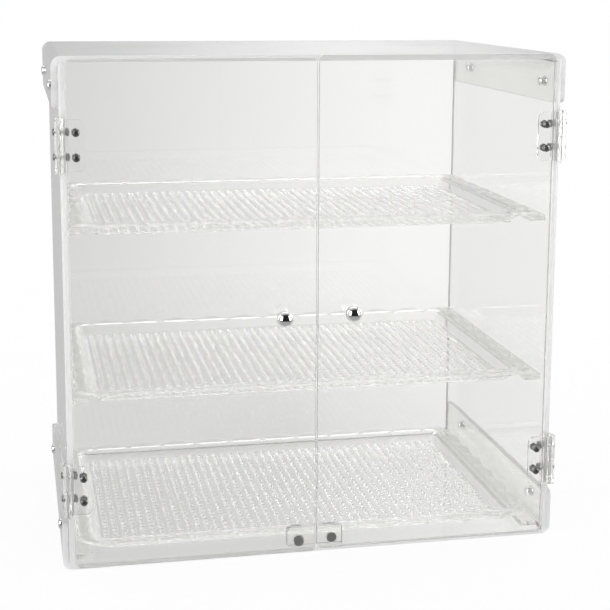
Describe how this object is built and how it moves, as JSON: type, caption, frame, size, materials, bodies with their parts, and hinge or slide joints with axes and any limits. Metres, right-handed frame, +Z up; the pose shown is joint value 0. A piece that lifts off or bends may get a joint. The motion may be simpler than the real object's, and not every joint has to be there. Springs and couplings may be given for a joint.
{
  "type": "bakery display case",
  "caption": "Clear acrylic countertop bakery display case: bent top and bottom panels, hinged front doors with ball knobs, and scalloped-rim trays on side rails",
  "frame": {"origin": "centre of the case footprint on the underside of the bottom panel", "axes": "+Z up, doors face -Y, +X to the right of someone facing the doors"},
  "size_m": [0.493, 0.3453, 0.485],
  "materials": {
    "case_acrylic": "cast acrylic sheet, clear, polished edges",
    "door_acrylic": "cast acrylic sheet, clear, polished edges",
    "rail_acrylic": "cast acrylic strip, clear, polished edges",
    "catch_acrylic": "cast acrylic block, clear, polished edges",
    "tray_polycarbonate": "moulded clear polycarbonate, glossy",
    "hinge_polycarbonate": "moulded clear polycarbonate, glossy",
    "hinge_pin_nylon": "natural nylon rod, satin",
    "hinge_screw_steel": "stainless steel, dull",
    "post_chrome": "nickel plated, polished",
    "knob_chrome": "chrome plated, mirror polished",
    "magnet_nickel": "nickel plated, satin",
    "strike_steel": "bare steel, satin"
  },
  "bodies": {
    "case": {"bottom_panel": "case_acrylic", "top_panel": "case_acrylic", "left_side_panel": "case_acrylic", "right_side_panel": "case_acrylic", "back_panel": "case_acrylic", "post_left_bottom_front": "post_chrome", "post_left_bottom_back": "post_chrome", "post_left_top_front": "post_chrome", "post_left_top_back": "post_chrome", "post_right_bottom_front": "post_chrome", "post_right_bottom_back": "post_chrome", "post_right_top_front": "post_chrome", "post_right_top_back": "post_chrome", "bottom_rail_left": "rail_acrylic", "bottom_rail_right": "rail_acrylic", "middle_rail_left": "rail_acrylic", "middle_rail_right": "rail_acrylic", "top_rail_left": "rail_acrylic", "top_rail_right": "rail_acrylic", "left_bottom_hinge_side_leaf": "hinge_polycarbonate", "left_bottom_hinge_pin": "hinge_pin_nylon", "left_bottom_hinge_side_screw_lower": "hinge_screw_steel", "left_bottom_hinge_side_screw_upper": "hinge_screw_steel", "left_top_hinge_side_leaf": "hinge_polycarbonate", "left_top_hinge_pin": "hinge_pin_nylon", "left_top_hinge_side_screw_lower": "hinge_screw_steel", "left_top_hinge_side_screw_upper": "hinge_screw_steel", "right_bottom_hinge_side_leaf": "hinge_polycarbonate", "right_bottom_hinge_pin": "hinge_pin_nylon", "right_bottom_hinge_side_screw_lower": "hinge_screw_steel", "right_bottom_hinge_side_screw_upper": "hinge_screw_steel", "right_top_hinge_side_leaf": "hinge_polycarbonate", "right_top_hinge_pin": "hinge_pin_nylon", "right_top_hinge_side_screw_lower": "hinge_screw_steel", "right_top_hinge_side_screw_upper": "hinge_screw_steel", "catch_block": "catch_acrylic", "left_magnet": "magnet_nickel", "right_magnet": "magnet_nickel"},
    "left_door": {"left_door": "door_acrylic", "left_knob": "knob_chrome", "left_bottom_hinge_door_leaf": "hinge_polycarbonate", "left_bottom_hinge_door_screw_lower": "hinge_screw_steel", "left_bottom_hinge_door_screw_upper": "hinge_screw_steel", "left_top_hinge_door_leaf": "hinge_polycarbonate", "left_top_hinge_door_screw_lower": "hinge_screw_steel", "left_top_hinge_door_screw_upper": "hinge_screw_steel", "left_strike": "strike_steel"},
    "right_door": {"right_door": "door_acrylic", "right_knob": "knob_chrome", "right_bottom_hinge_door_leaf": "hinge_polycarbonate", "right_bottom_hinge_door_screw_lower": "hinge_screw_steel", "right_bottom_hinge_door_screw_upper": "hinge_screw_steel", "right_top_hinge_door_leaf": "hinge_polycarbonate", "right_top_hinge_door_screw_lower": "hinge_screw_steel", "right_top_hinge_door_screw_upper": "hinge_screw_steel", "right_strike": "strike_steel"},
    "top_tray": {"top_tray": "tray_polycarbonate"},
    "middle_tray": {"middle_tray": "tray_polycarbonate"},
    "bottom_tray": {"bottom_tray": "tray_polycarbonate"}
  },
  "joints": [
    {"name": "left_door_swing", "type": "hinge", "parent": "case", "child": "left_door", "pos_m": [-0.2386, -0.1681, 0.2436], "axis": [0, 0, -1], "range_deg": [0, 180]},
    {"name": "right_door_swing", "type": "hinge", "parent": "case", "child": "right_door", "pos_m": [0.2386, -0.1681, 0.2446], "axis": [0, 0, 1], "range_deg": [0, 180]},
    {"name": "top_tray_slide", "type": "slide", "parent": "case", "child": "top_tray", "axis": [0, -1, 0], "range_m": [0, 0.009]},
    {"name": "middle_tray_slide", "type": "slide", "parent": "case", "child": "middle_tray", "axis": [0, -1, 0], "range_m": [0, 0.009]},
    {"name": "bottom_tray_lift", "type": "slide", "parent": "case", "child": "bottom_tray", "axis": [0, 0, 1], "range_m": [0, 0.12]}
  ]
}
